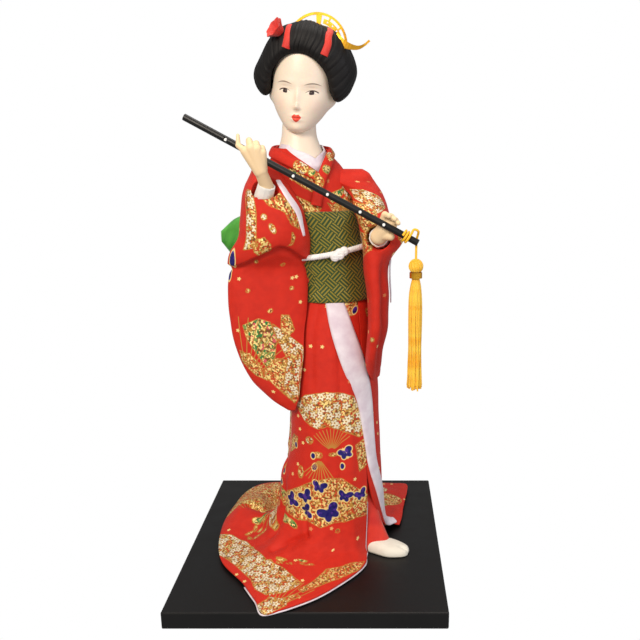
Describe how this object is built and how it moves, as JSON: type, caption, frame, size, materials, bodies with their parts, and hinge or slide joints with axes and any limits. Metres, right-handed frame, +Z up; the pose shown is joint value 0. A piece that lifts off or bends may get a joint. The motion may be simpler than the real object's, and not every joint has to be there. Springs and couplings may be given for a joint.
{
  "type": "geisha figurine",
  "caption": "Standing kimono doll holding a flute with a tassel, in red brocade with a green obi, on a square black board.",
  "frame": {"origin": "centre of the board's underside", "axes": "+Z up, the doll faces -Y, +X towards the flute's tasselled end"},
  "size_m": [0.146, 0.1477, 0.3045],
  "materials": {
    "lacquer": "black satin lacquer",
    "bare_wood": "bare turned wood",
    "wire": "plain drawn wire",
    "padding": "stuffed cloth",
    "skin": "ivory white paint on a moulded head",
    "hand": "moulded, warm peach tone",
    "hair": "combed black hair with a soft sheen",
    "brocade": "vermilion brocade with gold thread, fans, blossoms and butterflies",
    "robe": "plain red cloth",
    "lining": "pale lavender satin",
    "cotton": "white cotton",
    "obi": "olive green brocade with a gold key fret",
    "cord": "white twisted cord",
    "gilt": "thin gilt metal",
    "ribbon": "red ribbon",
    "flute_black": "black painted bamboo",
    "stud": "small white studs",
    "silk": "yellow orange silk thread"
  },
  "bodies": {
    "root": {"base_board": "lacquer", "post_left": "bare_wood", "post_right": "bare_wood", "arm_wire_left": "wire", "arm_wire_right": "wire", "torso_padding": "padding", "head": "skin", "hand_left": "hand", "hand_right": "hand", "wig": "hair", "topknot": "hair", "kimono_skirt": "brocade", "kimono_bodice": "brocade", "kimono_collar": "brocade", "sleeve_left": "brocade", "sleeve_right": "brocade", "under_robe": "robe", "front_lining_band": "lining", "hem_piping": "lining", "under_collar": "lining", "sleeve_lining_left": "lining", "sleeve_lining_right": "lining", "foot_left": "cotton", "cuff_left": "cotton", "cuff_right": "cotton", "obi": "obi", "bow_wing_left": "obi", "bow_wing_right": "obi", "bow_knot": "obi", "bow_tail": "obi", "obi_cord": "cord", "hair_comb": "gilt", "hair_pin": "gilt", "tassel_band": "gilt", "hair_ribbon_left": "ribbon", "hair_ribbon_right": "ribbon", "hair_flower": "ribbon", "flute": "flute_black", "flute_stud_1": "stud", "flute_stud_2": "stud", "flute_stud_3": "stud", "flute_stud_4": "stud", "flute_stud_5": "stud", "tassel_cord": "silk", "tassel_knob": "silk", "tassel_skirt": "silk"}
  },
  "joints": []
}
